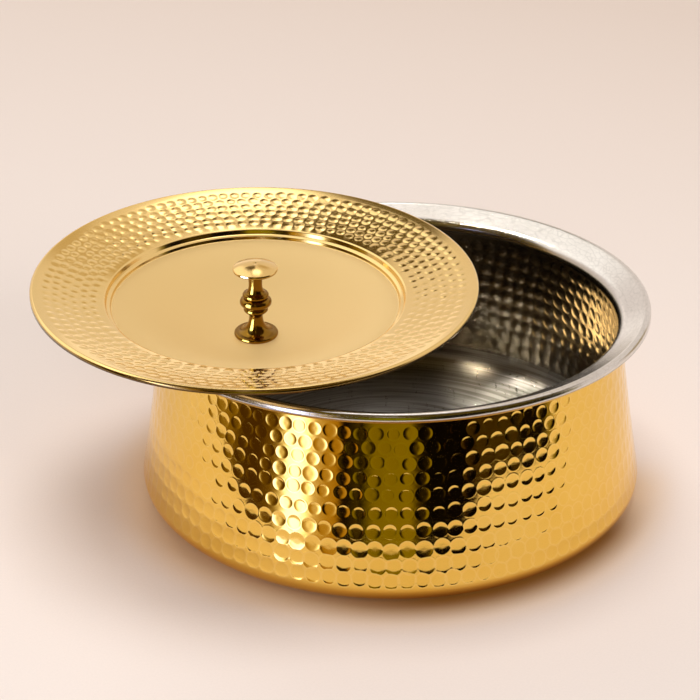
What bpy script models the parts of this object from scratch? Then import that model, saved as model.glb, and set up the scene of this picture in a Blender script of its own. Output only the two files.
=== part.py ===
"""Hammered brass handi: a tinned cooking pot with a flared rim, and its dished lid lying askew on that rim.

Metres, +Z up. The origin is the centre of the flat base, on the pot's axis. The front of the pot faces -Y.
"""

import math

import bpy
from mathutils import Matrix, Vector

# Fits
CLEARANCE = 0.0003
MERGE_DISTANCE = 0.00001

# Pot: one spun brass sheet with a flat base, a rounded bottom edge, a leaning wall, a funnel flange and a lip
POT_HEIGHT = 0.1022
RIM_RADIUS = 0.1300
BOTTOM_EDGE_WIDTH = 0.0141
BOTTOM_EDGE_HEIGHT = 0.0100
WALL_LEAN = math.radians(9.1)
THROAT_RADIUS = 0.0050
FLANGE_SLOPE = math.radians(26.0)
FLANGE_FLAT_WIDTH = 0.0099
LIP_BEND_RADIUS = 0.0004
LIP_DROP = 0.0043
SHEET_THICKNESS = 0.0010

# Tin lining: follows the sheet inside, over the flange and over the lip, and stops above the sheet's edge
LINING_THICKNESS = 0.0006
LINING_DROP = 0.0031

# Lid: heights are measured from the plane of its lip's lower edge
LID_RADIUS = 0.1093
LID_LIP_HEIGHT = 0.0027
LID_CORNER_RADIUS = 0.0010
LID_THICKNESS = 0.0012
LID_ROLL_RADIUS = 0.0743
LID_ROLL_HEIGHT = -0.0067
LID_ROLL_ROUNDING = 0.0012
LID_LEDGE_RADIUS = 0.0722
LID_LEDGE_HEIGHT = -0.0093
LID_WELL_RADIUS = 0.0706
LID_WELL_EDGE_HEIGHT = -0.0111
LID_WELL_DEPTH = 0.0186

# Where the lid lies, and how it tips: front edge down, right edge down
LID_SHIFT_X = -0.0661
LID_SHIFT_Y = -0.0205
LID_TIP_FORWARD = math.radians(3.22)
LID_TIP_SIDE = math.radians(1.04)

# Knob: a turned brass knob with a flared foot, a cluster of beads and a flattened head
KNOB_HEIGHT = 0.0395
KNOB_FOOT_RADIUS = 0.0110
KNOB_FOOT_EDGE = 0.0022
KNOB_WAIST_RADIUS = 0.00345
KNOB_WAIST_HEIGHT = 0.0102
KNOB_BEAD_START = 0.0128
KNOB_LOW_BEAD_RADIUS = 0.0061
KNOB_LOW_BEAD_HEIGHT = 0.0034
KNOB_MAIN_BEAD_RADIUS = 0.0079
KNOB_MAIN_BEAD_HEIGHT = 0.0048
KNOB_TOP_BEAD_RADIUS = 0.0065
KNOB_TOP_BEAD_HEIGHT = 0.0026
KNOB_BEAD_ROOT_RADIUS = 0.0052
KNOB_NECK_RADIUS = 0.00335
KNOB_NECK_HEIGHT = 0.0280
KNOB_HEAD_RADIUS = 0.0111
KNOB_HEAD_THICKNESS = 0.0043
KNOB_HEAD_STEM_RADIUS = 0.0042
KNOB_BORE_DEPTH = 0.0090

# Screw and washer that hold the knob from below
SCREW_RADIUS = 0.0015
SCREW_LENGTH = 0.0100
SCREW_HEAD_RADIUS = 0.0040
SCREW_HEAD_HEIGHT = 0.0022
SCREW_HEAD_ROUNDING = 0.0006
WASHER_RADIUS = 0.0060
WASHER_THICKNESS = 0.0008

# Facets
POT_STEPS = 52
LID_STEPS = 52
KNOB_STEPS = 28
SCREW_STEPS = 24
LIP_BEND_STEPS = 4
THROAT_BEND_STEPS = 4
BOTTOM_EDGE_STEPS = 5
WELL_STEPS = 6
FOLD_STEPS = 3
HEAD_STEPS = 8
BEAD_STEPS = 4
CONTACT_SAMPLES = 360
CONTACT_PARTS = 5
CONTACT_PASSES = 4
SMOOTH_ANGLE = math.radians(35.0)

# Profiles are lists of (radius, height) points. An outer side runs from top to bottom.


def arc(centre, radii, start, end, steps):
    """Points on an elliptic arc about centre, from the angle start to the angle end."""
    points = []
    for i in range(steps + 1):
        angle = start + (end - start) * i / steps
        points.append((centre[0] + radii[0] * math.cos(angle), centre[1] + radii[1] * math.sin(angle)))
    return points


def direction(angle):
    return Vector((math.cos(angle), math.sin(angle)))


def pot_profile(inset, drop):
    """The pot's form at a depth of inset behind its outer skin, from the lip's lower edge to the axis."""
    stack = SHEET_THICKNESS + CLEARANCE + LINING_THICKNESS
    flange_normal = math.pi / 2 + FLANGE_SLOPE
    wall_normal = math.pi + WALL_LEAN
    lip_centre = Vector((RIM_RADIUS - stack - LIP_BEND_RADIUS, POT_HEIGHT - stack - LIP_BEND_RADIUS))
    throat_centre = (lip_centre + (LIP_BEND_RADIUS - THROAT_RADIUS) * direction(flange_normal)
                     - FLANGE_FLAT_WIDTH * direction(FLANGE_SLOPE))

    bend = (LIP_BEND_RADIUS + inset, LIP_BEND_RADIUS + inset)
    throat = (THROAT_RADIUS + inset, THROAT_RADIUS + inset)
    points = [(lip_centre.x + bend[0], POT_HEIGHT - drop)]
    points += arc(lip_centre, bend, 0, flange_normal, LIP_BEND_STEPS)
    points += arc(throat_centre, throat, flange_normal, wall_normal, THROAT_BEND_STEPS)

    # The bottom edge is a quarter ellipse that the leaning wall touches, and the flat base ends below its centre
    outward = direction(WALL_LEAN)
    skin = throat_centre - THROAT_RADIUS * outward
    support = math.hypot(BOTTOM_EDGE_WIDTH * outward.x, BOTTOM_EDGE_HEIGHT * outward.y)
    base_radius = (skin.dot(outward) - support - BOTTOM_EDGE_HEIGHT * outward.y) / outward.x
    edge_centre = Vector((base_radius, BOTTOM_EDGE_HEIGHT))
    edge_height = BOTTOM_EDGE_HEIGHT - inset
    edge_width = math.sqrt((support - inset) ** 2 - (edge_height * outward.y) ** 2) / outward.x
    tangent = math.atan2(edge_height * outward.y, edge_width * outward.x)
    points += arc(edge_centre, (edge_width, edge_height), tangent, -math.pi / 2, BOTTOM_EDGE_STEPS)
    points.append((0, inset))
    return points


def lid_profile():
    """The lid's top face, from the screw hole to the lower edge of its lip."""
    floor = LID_WELL_EDGE_HEIGHT - LID_WELL_DEPTH
    seat = KNOB_FOOT_RADIUS + CLEARANCE
    points = [(SCREW_RADIUS + CLEARANCE, floor)]

    # A flat seat for the knob, then the well's curve up to its edge
    for i in range(WELL_STEPS + 1):
        share = i / WELL_STEPS
        rise = 1 - (1 - share ** 2) ** 2
        points.append((seat + (LID_WELL_RADIUS - seat) * share, floor + LID_WELL_DEPTH * rise))
    points.append((LID_LEDGE_RADIUS, LID_LEDGE_HEIGHT))

    # The band falls from the lip to the roll, which turns it down to the ledge
    band_start = Vector((LID_ROLL_RADIUS, LID_ROLL_HEIGHT))
    corner = Vector((LID_RADIUS - LID_CORNER_RADIUS, LID_LIP_HEIGHT - LID_CORNER_RADIUS))
    run = corner - band_start
    slope = math.atan2(run.y + LID_CORNER_RADIUS, run.x)
    roll_centre = band_start - LID_ROLL_ROUNDING * direction(slope + math.pi / 2)
    roll = (LID_ROLL_ROUNDING, LID_ROLL_ROUNDING)
    points += arc(roll_centre, roll, math.pi, math.pi / 2 + slope, FOLD_STEPS)
    rounding = (LID_CORNER_RADIUS, LID_CORNER_RADIUS)
    points += arc(corner, rounding, math.pi / 2 + slope, 0, FOLD_STEPS)
    points.append((LID_RADIUS, 0))
    return points


def offset_profile(points, distance):
    """The profile moved behind its outer face by distance, mitred at its corners."""
    moved = []
    last = len(points) - 1
    for i, point in enumerate(points):
        before = Vector(points[i]) - Vector(points[max(i - 1, 0)])
        after = Vector(points[min(i + 1, last)]) - Vector(points[i])
        if i == 0:
            before = after
        if i == last:
            after = before
        normals = [Vector((-run.y, run.x)).normalized() for run in (before, after)]
        bisector = (normals[0] + normals[1]).normalized()
        moved.append(Vector(point) - bisector * (distance / bisector.dot(normals[0])))
    return moved


def bead(start, height, root, crest):
    """A convex ring on the knob, from start upwards, listed from top to bottom."""
    centre = (root, start + height / 2)
    return arc(centre, (crest - root, height / 2), math.pi / 2, -math.pi / 2, BEAD_STEPS)


def knob_profile():
    """The knob's outer face from the crown to the foot, then the blind bore of its screw."""
    bore = SCREW_RADIUS + CLEARANCE
    head_middle = KNOB_HEIGHT - KNOB_HEAD_THICKNESS / 2
    head = (KNOB_HEAD_RADIUS, KNOB_HEAD_THICKNESS / 2)
    stem_angle = -math.acos(KNOB_HEAD_STEM_RADIUS / KNOB_HEAD_RADIUS)
    points = arc((0, head_middle), head, math.pi / 2, stem_angle, HEAD_STEPS)

    neck_drop = points[-1][1] - KNOB_NECK_HEIGHT
    neck_width = KNOB_HEAD_STEM_RADIUS - KNOB_NECK_RADIUS
    centre = (KNOB_HEAD_STEM_RADIUS, KNOB_NECK_HEIGHT)
    points += arc(centre, (neck_width, neck_drop), math.pi * 3 / 4, math.pi, FOLD_STEPS)

    low = KNOB_BEAD_START
    main = low + KNOB_LOW_BEAD_HEIGHT
    top = main + KNOB_MAIN_BEAD_HEIGHT
    end = top + KNOB_TOP_BEAD_HEIGHT
    points += arc((KNOB_BEAD_ROOT_RADIUS, KNOB_NECK_HEIGHT),
                  (KNOB_BEAD_ROOT_RADIUS - KNOB_NECK_RADIUS, KNOB_NECK_HEIGHT - end),
                  math.pi, math.pi * 3 / 2, FOLD_STEPS)[1:-1]
    points += bead(top, KNOB_TOP_BEAD_HEIGHT, KNOB_BEAD_ROOT_RADIUS, KNOB_TOP_BEAD_RADIUS)
    points += bead(main, KNOB_MAIN_BEAD_HEIGHT, KNOB_BEAD_ROOT_RADIUS, KNOB_MAIN_BEAD_RADIUS)[1:]
    points += bead(low, KNOB_LOW_BEAD_HEIGHT, KNOB_WAIST_RADIUS, KNOB_LOW_BEAD_RADIUS)[1:]

    # A cove sweeps from the waist out to the foot, whose edge is a small round
    cove_drop = KNOB_WAIST_HEIGHT - KNOB_FOOT_EDGE
    cove_width = KNOB_FOOT_RADIUS - KNOB_FOOT_EDGE / 2 - KNOB_WAIST_RADIUS
    cove_centre = (KNOB_WAIST_RADIUS + cove_width, KNOB_WAIST_HEIGHT)
    points += arc(cove_centre, (cove_width, cove_drop), math.pi, math.pi * 3 / 2, FOLD_STEPS)
    edge_centre = (KNOB_FOOT_RADIUS - KNOB_FOOT_EDGE / 2, KNOB_FOOT_EDGE / 2)
    edge = (KNOB_FOOT_EDGE / 2, KNOB_FOOT_EDGE / 2)
    points += arc(edge_centre, edge, math.pi / 2, -math.pi / 2, FOLD_STEPS)[1:]
    points += [(bore, 0), (bore, KNOB_BORE_DEPTH), (0, KNOB_BORE_DEPTH)]
    return points


def screw_profile():
    """Shank tip first, then the shank, and the round head below it. Height 0 is the top of the head."""
    inner = SCREW_HEAD_RADIUS - SCREW_HEAD_ROUNDING
    centre = (inner, SCREW_HEAD_ROUNDING - SCREW_HEAD_HEIGHT)
    rounding = (SCREW_HEAD_ROUNDING, SCREW_HEAD_ROUNDING)
    points = [(0, SCREW_LENGTH), (SCREW_RADIUS, SCREW_LENGTH), (SCREW_RADIUS, 0), (SCREW_HEAD_RADIUS, 0)]
    points += arc(centre, rounding, 0, -math.pi / 2, FOLD_STEPS)
    points.append((0, -SCREW_HEAD_HEIGHT))
    return points


def washer_profile():
    hole = SCREW_RADIUS + CLEARANCE
    return [(hole, WASHER_THICKNESS), (WASHER_RADIUS, WASHER_THICKNESS), (WASHER_RADIUS, 0), (hole, 0)]


def material(name, color, metallic, roughness):
    made = bpy.data.materials.new(name)
    made.use_nodes = True
    shader = made.node_tree.nodes["Principled BSDF"]
    shader.inputs["Base Color"].default_value = (*color, 1)
    shader.inputs["Metallic"].default_value = metallic
    shader.inputs["Roughness"].default_value = roughness
    return made


def turned(name, profile, steps, look, thickness=0, closed=False):
    """A profile swept once round the Z axis: a solid, or with a thickness a sheet."""
    mesh = bpy.data.meshes.new(name)
    count = len(profile)
    edges = [(i, i + 1) for i in range(count - 1)]
    if closed:
        edges.append((count - 1, 0))
    mesh.from_pydata([(radius, 0, height) for radius, height in profile], edges, [])
    mesh.materials.append(look)
    made = bpy.data.objects.new(name, mesh)
    bpy.data.collections["brass_handi"].objects.link(made)

    screw = made.modifiers.new("Turn", 'SCREW')
    screw.axis = 'Z'
    screw.angle = math.tau
    screw.steps = steps
    screw.render_steps = steps
    screw.use_merge_vertices = True
    screw.merge_threshold = MERGE_DISTANCE
    screw.use_smooth_shade = True
    if thickness:
        sheet = made.modifiers.new("Sheet", 'SOLIDIFY')
        sheet.thickness = thickness
        sheet.offset = -1
        sheet.use_even_offset = True
    return made


def height_at(profile, radius):
    """The height of a profile whose radii grow from its first point on."""
    for inner, outer in zip(profile, profile[1:]):
        if inner[0] <= radius <= outer[0] and outer[0] > inner[0]:
            share = (radius - inner[0]) / (outer[0] - inner[0])
            return inner[1] + (outer[1] - inner[1]) * share
    return None


def lid_placement():
    """The lid's pose: tipped and shifted as it lies, and lowered until its underside meets the pot's rim."""
    inside = pot_profile(SHEET_THICKNESS + CLEARANCE + LINING_THICKNESS, LINING_DROP)
    rim = []
    for start, end in zip(inside[:-2], inside[1:-1]):
        run = Vector(end) - Vector(start)
        rim += [Vector(start) + run * (i / CONTACT_PARTS) for i in range(CONTACT_PARTS)]
    underside = offset_profile(lid_profile(), LID_THICKNESS)
    underside.append(Vector((LID_RADIUS, 0)))
    tip = Matrix.Rotation(LID_TIP_SIDE, 4, 'Y') @ Matrix.Rotation(LID_TIP_FORWARD, 4, 'X')
    height = POT_HEIGHT
    for _ in range(CONTACT_PASSES):
        pose = Matrix.Translation((LID_SHIFT_X, LID_SHIFT_Y, height)) @ tip
        back = pose.inverted()
        lift = []
        for i in range(CONTACT_SAMPLES):
            turn = Matrix.Rotation(math.tau * i / CONTACT_SAMPLES, 4, 'Z')
            for radius, level in rim:
                point = back @ (turn @ Vector((radius, 0, level)))
                under = height_at(underside, math.hypot(point.x, point.y))
                if under is not None:
                    lift.append(point.z - under)
        height += max(lift) + CLEARANCE
    return Matrix.Translation((LID_SHIFT_X, LID_SHIFT_Y, height)) @ tip


def build_pot():
    brass = material("hammered_brass", (0.83, 0.56, 0.18), 1.0, 0.18)
    tin = material("tin", (0.72, 0.71, 0.69), 1.0, 0.30)
    turned("pot_shell", pot_profile(0, LIP_DROP), POT_STEPS, brass, thickness=SHEET_THICKNESS)
    lining_inset = SHEET_THICKNESS + CLEARANCE
    turned("tin_lining", pot_profile(lining_inset, LINING_DROP), POT_STEPS, tin, thickness=LINING_THICKNESS)


def build_lid():
    """The lid's pieces hang on one empty, at the centre of the lip's lower plane."""
    pose = bpy.data.objects.new("lid_pose", None)
    pose.matrix_world = lid_placement()
    bpy.data.collections["brass_handi"].objects.link(pose)

    lid_brass = material("lid_brass", (0.85, 0.60, 0.22), 1.0, 0.15)
    knob_brass = material("knob_brass", (0.86, 0.60, 0.20), 1.0, 0.08)
    screw_steel = material("screw_steel", (0.60, 0.58, 0.55), 1.0, 0.35)
    washer_brass = material("washer_brass", (0.80, 0.58, 0.25), 1.0, 0.30)

    plate = turned("lid_plate", lid_profile(), LID_STEPS, lid_brass, thickness=LID_THICKNESS)
    well = lid_profile()[0][1]
    knob = turned("lid_knob", knob_profile(), KNOB_STEPS, knob_brass)
    knob.location.z = well + CLEARANCE
    washer = turned("knob_washer", washer_profile(), SCREW_STEPS, washer_brass, closed=True)
    washer.location.z = well - LID_THICKNESS - CLEARANCE - WASHER_THICKNESS
    screw = turned("knob_screw", screw_profile(), SCREW_STEPS, screw_steel)
    screw.location.z = washer.location.z - CLEARANCE
    for piece in (plate, knob, washer, screw):
        piece.parent = pose


def main():
    for old in list(bpy.data.objects):
        bpy.data.objects.remove(old, do_unlink=True)
    collection = bpy.data.collections.new("brass_handi")
    bpy.context.scene.collection.children.link(collection)
    build_pot()
    build_lid()


main()
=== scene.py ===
"""Looks for a hammered brass handi with a tinned inside and a loose dished lid.

Sections and marks are worked out in millimetres, and everything placed in the scene is in metres.
"""

import math

import bpy
import numpy as np
from mathutils import Matrix, Vector


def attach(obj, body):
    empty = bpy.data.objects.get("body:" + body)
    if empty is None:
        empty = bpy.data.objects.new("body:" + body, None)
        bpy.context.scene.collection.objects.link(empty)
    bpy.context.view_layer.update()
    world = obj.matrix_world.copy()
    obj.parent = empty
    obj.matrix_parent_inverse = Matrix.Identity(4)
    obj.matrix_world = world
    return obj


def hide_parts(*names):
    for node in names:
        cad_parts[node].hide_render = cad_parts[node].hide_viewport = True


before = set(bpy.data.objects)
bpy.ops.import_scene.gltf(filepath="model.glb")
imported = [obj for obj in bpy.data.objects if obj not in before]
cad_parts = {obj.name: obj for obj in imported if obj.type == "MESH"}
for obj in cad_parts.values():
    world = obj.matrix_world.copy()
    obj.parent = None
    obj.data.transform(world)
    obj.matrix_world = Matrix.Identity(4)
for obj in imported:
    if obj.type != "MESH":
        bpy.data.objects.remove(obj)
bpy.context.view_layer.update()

MM = 0.001
TAU = 2 * math.pi
SEED = 41
rng = np.random.default_rng(SEED)


def rad(degrees):
    return math.radians(degrees)


# Sizes shared with the CAD, in millimetres
CLEARANCE = 0.3
POT_HEIGHT = 102.2
RIM_RADIUS = 130.0
BOTTOM_EDGE_WIDTH = 14.1
BOTTOM_EDGE_HEIGHT = 10.0
WALL_LEAN = rad(9.1)
THROAT_RADIUS = 5.0
FLANGE_SLOPE = rad(26.0)
FLANGE_FLAT = 9.9
LIP_BEND = 0.4
LIP_DROP = 4.3
SHEET = 1.0
LINING = 0.6
LINING_DROP = 3.1
STACK = SHEET + CLEARANCE + LINING

LID_PLACE = Vector((-66.1, -20.5, 118.06))
LID_TIP_X = rad(3.22)
LID_TIP_Y = rad(1.04)
LID_POSE = (Matrix.Translation(LID_PLACE * MM) @ Matrix.Rotation(LID_TIP_Y, 4, 'Y')
            @ Matrix.Rotation(LID_TIP_X, 4, 'X'))
LID_RADIUS = 109.3
LID_LIP = 2.7
LID_THICKNESS = 1.2
KNOB_SEAT = 11.3
WELL_RADIUS = 70.6
WELL_EDGE = -11.1
WELL_DEPTH = 18.6
WELL_FLOOR = WELL_EDGE - WELL_DEPTH
SCREW_RADIUS = 1.8


# Sections: lines of (radius, height) points, and the solids and marks made from them

STRAIGHT = rad(89.5)
CORNER_SHARE = 0.48
WALL_HOLLOW = 0.5
LIP_STEPS, THROAT_STEPS, EDGE_STEPS = 14, 18, 30
FLANGE_SPACING, BASE_SPACING = 0.9, 3.0


def heading(angle):
    return np.array([math.cos(angle), math.sin(angle)])


def arc(centre, radii, start, end, steps):
    a = np.linspace(start, end, steps + 1)
    return np.stack([centre[0] + radii[0] * np.cos(a), centre[1] + radii[1] * np.sin(a)], 1)


def line(start, end, spacing):
    """Points from start to end, without the first, about a spacing apart."""
    start, end = np.asarray(start, float), np.asarray(end, float)
    count = max(1, int(round(np.linalg.norm(end - start) / spacing)))
    share = np.arange(1, count + 1)[:, None] / count
    return start + (end - start) * share


def fillet(points, radii, steps):
    """The polyline with its inner corners rounded. Each radius is cut to what its corner has room for."""
    points = [np.asarray(p, float) for p in points]
    out = [points[0]]
    for before, corner, after, radius in zip(points, points[1:], points[2:], radii):
        a, b = before - corner, after - corner
        la, lb = np.linalg.norm(a), np.linalg.norm(b)
        a, b = a / la, b / lb
        half = math.acos(max(-1, min(1, a @ b))) / 2
        if half > STRAIGHT:
            out.append(corner)
            continue
        cut = min(radius / math.tan(half), la * CORNER_SHARE, lb * CORNER_SHARE)
        radius = cut * math.tan(half)
        middle = (a + b) / np.linalg.norm(a + b)
        centre = corner + middle * (radius / math.sin(half))
        first, last = corner + a * cut - centre, corner + b * cut - centre
        turn = math.atan2(first[0] * last[1] - first[1] * last[0], first @ last)
        start = math.atan2(first[1], first[0])
        for i in range(steps + 1):
            out.append(centre + radius * heading(start + turn * i / steps))
    out.append(points[-1])
    return np.array(out)


def pot_section(inset, drop, spacing):
    """The pot's surface at a depth behind its outer skin, from the lip's lower edge to the axis."""
    flange_normal = math.pi / 2 + FLANGE_SLOPE
    wall_normal = math.pi + WALL_LEAN
    lip_centre = np.array([RIM_RADIUS - STACK - LIP_BEND, POT_HEIGHT - STACK - LIP_BEND])
    throat_centre = (lip_centre + (LIP_BEND - THROAT_RADIUS) * heading(flange_normal)
                     - FLANGE_FLAT * heading(FLANGE_SLOPE))
    bend = LIP_BEND + inset
    throat = THROAT_RADIUS + inset
    top = arc(lip_centre, (bend, bend), 0, flange_normal, LIP_STEPS)
    parts = [[(lip_centre[0] + bend, POT_HEIGHT - drop)], top]
    curve = arc(throat_centre, (throat, throat), flange_normal, wall_normal, THROAT_STEPS)
    parts += [line(top[-1], curve[0], FLANGE_SPACING)[:-1], curve]

    outward = heading(WALL_LEAN)
    skin = throat_centre - THROAT_RADIUS * outward
    support = math.hypot(BOTTOM_EDGE_WIDTH * outward[0], BOTTOM_EDGE_HEIGHT * outward[1])
    base_radius = (skin @ outward - support - BOTTOM_EDGE_HEIGHT * outward[1]) / outward[0]
    edge_centre = np.array([base_radius, BOTTOM_EDGE_HEIGHT])
    edge_height = BOTTOM_EDGE_HEIGHT - inset
    edge_width = math.sqrt((support - inset) ** 2 - (edge_height * outward[1]) ** 2) / outward[0]
    tangent = math.atan2(edge_height * outward[1], edge_width * outward[0])
    edge = arc(edge_centre, (edge_width, edge_height), tangent, -math.pi / 2, EDGE_STEPS)
    wall = line(curve[-1], edge[0], spacing)

    # The real wall is a touch hollow between the throat and the belly
    share = (wall[:, 1] - edge[0, 1]) / (curve[-1, 1] - edge[0, 1])
    wall -= WALL_HOLLOW * (4 * share * (1 - share))[:, None] * outward
    parts += [wall[:-1], edge, line(edge[-1], (0, inset), BASE_SPACING)]
    return np.concatenate([np.asarray(p, float).reshape(-1, 2) for p in parts])


def normals_of(section, closed):
    if closed:
        run = np.roll(section, -1, 0) - np.roll(section, 1, 0)
    else:
        run = np.gradient(section, axis=0)
    normal = np.stack([-run[:, 1], run[:, 0]], 1)
    return normal / np.maximum(np.linalg.norm(normal, axis=1), 1e-9)[:, None]


def turned(name, section, columns, offset=None, closed=False, lines=None):
    """A solid swept round Z from a section. offset is a (rows, columns) field along the section's normals.
    An open section starts and ends on the axis, and a closed one is a ring. lines is a field from 0 to 1
    of lines round the marks, for the material: a painted highlight on the shell, and painted shade in the lining."""
    normal = normals_of(section, closed)
    theta = np.arange(columns) * TAU / columns
    field = np.zeros((len(section), columns)) if offset is None else offset
    r = section[:, 0:1] + normal[:, 0:1] * field
    z = section[:, 1:2] + normal[:, 1:2] * field
    points = np.stack([r * np.cos(theta), r * np.sin(theta), z * np.ones_like(theta)], -1)
    rows = len(section)
    index = np.arange(rows * columns).reshape(rows, columns)
    if closed:
        upper, lower = index, np.roll(index, -1, 0)
        verts = points.reshape(-1, 3)
        fans = []
    else:
        # The two ends on the axis are single points
        index = index[1:-1] - columns + 1
        upper, lower = index[:-1], index[1:]
        verts = np.concatenate([points[0, :1], points[1:-1].reshape(-1, 3), points[-1, :1]])
        tip = len(verts) - 1
        first = np.stack([np.zeros(columns, int), index[0], np.roll(index[0], -1)], 1)
        last = np.stack([index[-1], np.full(columns, tip), np.roll(index[-1], -1)], 1)
        fans = [first, last]
    quads = np.stack([upper, lower, np.roll(lower, -1, 1), np.roll(upper, -1, 1)], -1).reshape(-1, 4)
    corners = np.concatenate([quads.ravel()] + [fan.ravel() for fan in fans])
    sizes = np.concatenate([np.full(len(quads), 4)] + [np.full(len(fan), 3) for fan in fans])
    mesh = bpy.data.meshes.new(name)
    mesh.vertices.add(len(verts))
    mesh.vertices.foreach_set("co", (verts * MM).astype(np.float32).ravel())
    mesh.loops.add(len(corners))
    mesh.loops.foreach_set("vertex_index", corners.astype(np.int32))
    mesh.polygons.add(len(sizes))
    mesh.polygons.foreach_set("loop_start", (np.cumsum(sizes) - sizes).astype(np.int32))
    mesh.update(calc_edges=True)
    mesh.validate()
    mesh.polygons.foreach_set("use_smooth", np.ones(len(mesh.polygons), bool))
    mesh.update()
    if lines is not None:
        at = np.concatenate([[0], lines[1:-1].ravel(), [0]])
        mesh.attributes.new("rim_highlight_and_crease_shade", 'FLOAT', 'POINT').data.foreach_set("value", at.astype(np.float32))
    made = bpy.data.objects.new(name, mesh)
    bpy.context.scene.collection.objects.link(made)
    return made


def mark_row(k, radius, pitch, place, size, depth, scatter):
    """Row k of marks round the axis, as uneven as handwork: the place, angle, size and depth of each."""
    count = int(round(TAU * radius / pitch))
    shift = 0.5 * (k % 2) + rng.normal(0, scatter["shift"])
    drift = np.cumsum(rng.normal(0, scatter["drift"], count))
    drift -= np.linspace(0, drift[-1], count)
    return [(place + rng.normal(0, scatter["place"]), (i + shift + drift[i]) * TAU / count % TAU,
             size * (1 + rng.normal(0, scatter["size"])), depth * (1 + rng.normal(0, scatter["depth"])))
            for i in range(count)]


def stamp(field, along, radius_at, marks, shape, reach, join, stretch):
    """Adds marks to a (rows, columns) field. along is each row's place along the section, and shape gives
    a mark's height at 0 to reach sizes away. Marks are stretched round the axis."""
    columns = field.shape[1]
    step = TAU / columns
    for place, angle, size, depth in marks:
        rows = np.nonzero(np.abs(along - place) < size * reach)[0]
        if not len(rows):
            continue
        radius = radius_at[rows[len(rows) // 2]]
        span = int(math.ceil(size * stretch * reach / radius / step)) + 1
        middle = int(round(angle / step))
        cols = np.arange(middle - span, middle + span + 1)
        u = (cols * TAU / columns - angle) * radius / stretch
        rho = np.hypot(u[None, :], (along[rows] - place)[:, None]) / size
        local = depth * shape(rho)
        spot = np.ix_(rows, cols % columns)
        field[spot] = join(field[spot], local)


def stamped(shape_of, rows, along, radius_at, marks, shape, reach, join, stretch=1.0):
    """A field of a shape, with marks on some of its rows."""
    field = np.zeros(shape_of)
    part = field[rows]
    stamp(part, along, radius_at, marks, shape, reach, join, stretch)
    field[rows] = part
    return field


# Shader nodes. A value is a socket or a plain number, and a colour is a socket or three numbers.

def new_material(name, metallic=1.0):
    mat = bpy.data.materials.new(name)
    mat.use_nodes = True
    shader = mat.node_tree.nodes["Principled BSDF"]
    shader.inputs["Metallic"].default_value = metallic
    return mat, mat.node_tree, shader


def node(tree, kind, **values):
    made = tree.nodes.new(kind)
    for key, value in values.items():
        if key in made.inputs:
            made.inputs[key].default_value = value
        else:
            setattr(made, key, value)
    return made


def feed(tree, value, socket):
    if isinstance(value, tuple):
        socket.default_value = (*value, 1)
    elif isinstance(value, (int, float)):
        socket.default_value = value
    else:
        tree.links.new(value, socket)


def maths(tree, kind, *values):
    made = node(tree, "ShaderNodeMath", operation=kind)
    for value, socket in zip(values, made.inputs):
        feed(tree, value, socket)
    return made.outputs[0]


def ramp(tree, value, low, high, to_low=0.0, to_high=1.0, kind='LINEAR'):
    made = node(tree, "ShaderNodeMapRange", interpolation_type=kind)
    made.inputs["From Min"].default_value = low
    made.inputs["From Max"].default_value = high
    made.inputs["To Min"].default_value = to_low
    made.inputs["To Max"].default_value = to_high
    tree.links.new(value, made.inputs["Value"])
    return made.outputs["Result"]


def smooth(tree, value, low, high, to_low=0.0, to_high=1.0):
    return ramp(tree, value, low, high, to_low, to_high, 'SMOOTHSTEP')


def blend_color(tree, factor, first, second, kind='MIX'):
    made = node(tree, "ShaderNodeMix", data_type='RGBA', blend_type=kind)
    feed(tree, factor, made.inputs[0])
    feed(tree, first, made.inputs[6])
    feed(tree, second, made.inputs[7])
    return made.outputs[2]


def object_place(tree):
    return node(tree, "ShaderNodeTexCoord").outputs["Object"]


def split_of(tree, vector):
    split = node(tree, "ShaderNodeSeparateXYZ")
    tree.links.new(vector, split.inputs[0])
    return split.outputs["X"], split.outputs["Y"], split.outputs["Z"]


def stretched(tree, vector, scale):
    mapping = node(tree, "ShaderNodeMapping")
    mapping.inputs["Scale"].default_value = scale
    tree.links.new(vector, mapping.inputs["Vector"])
    return mapping.outputs["Vector"]


def noise(tree, vector, scale, detail=3.0, roughness=0.5):
    made = node(tree, "ShaderNodeTexNoise", Scale=scale, Detail=detail, Roughness=roughness)
    tree.links.new(vector, made.inputs["Vector"])
    return made.outputs["Fac"]


def streaks(tree, scale, detail=3.0, roughness=0.6):
    """Noise drawn out along the object's axes, for brushed and polished lines."""
    return noise(tree, stretched(tree, object_place(tree), scale), 1.0, detail, roughness)


def bump(tree, shader, height, strength, distance):
    made = node(tree, "ShaderNodeBump", Strength=strength, Distance=distance)
    tree.links.new(height, made.inputs["Height"])
    tree.links.new(made.outputs["Normal"], shader.inputs["Normal"])


def mark_lines(tree):
    """The lines round the marks, which turned() keeps with the mesh: a painted highlight on the shell, and painted
    shade in the lining.
    """
    return node(tree, "ShaderNodeAttribute", attribute_name="rim_highlight_and_crease_shade").outputs["Fac"]


def radius_of(tree):
    """The distance from the object's own Z axis."""
    flat = node(tree, "ShaderNodeVectorMath", operation='MULTIPLY')
    flat.inputs[1].default_value = (1, 1, 0)
    tree.links.new(object_place(tree), flat.inputs[0])
    length = node(tree, "ShaderNodeVectorMath", operation='LENGTH')
    tree.links.new(flat.outputs[0], length.inputs[0])
    return length.outputs["Value"]


def polar(tree):
    """Turn round the pot, distance from its axis and height, for marks that follow a lathe; and the height."""
    x, y, z = split_of(tree, object_place(tree))
    joined = node(tree, "ShaderNodeCombineXYZ")
    tree.links.new(maths(tree, 'ARCTAN2', y, x), joined.inputs["X"])
    tree.links.new(radius_of(tree), joined.inputs["Y"])
    tree.links.new(z, joined.inputs["Z"])
    return joined.outputs["Vector"], z


def bearing(tree, vector):
    """Degrees round the pot from the front, to the right, of a place or direction; and its Z."""
    x, y, z = split_of(tree, vector)
    back = maths(tree, 'MULTIPLY', y, -1)
    return maths(tree, 'DEGREES', maths(tree, 'ARCTAN2', x, back)), z


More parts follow.
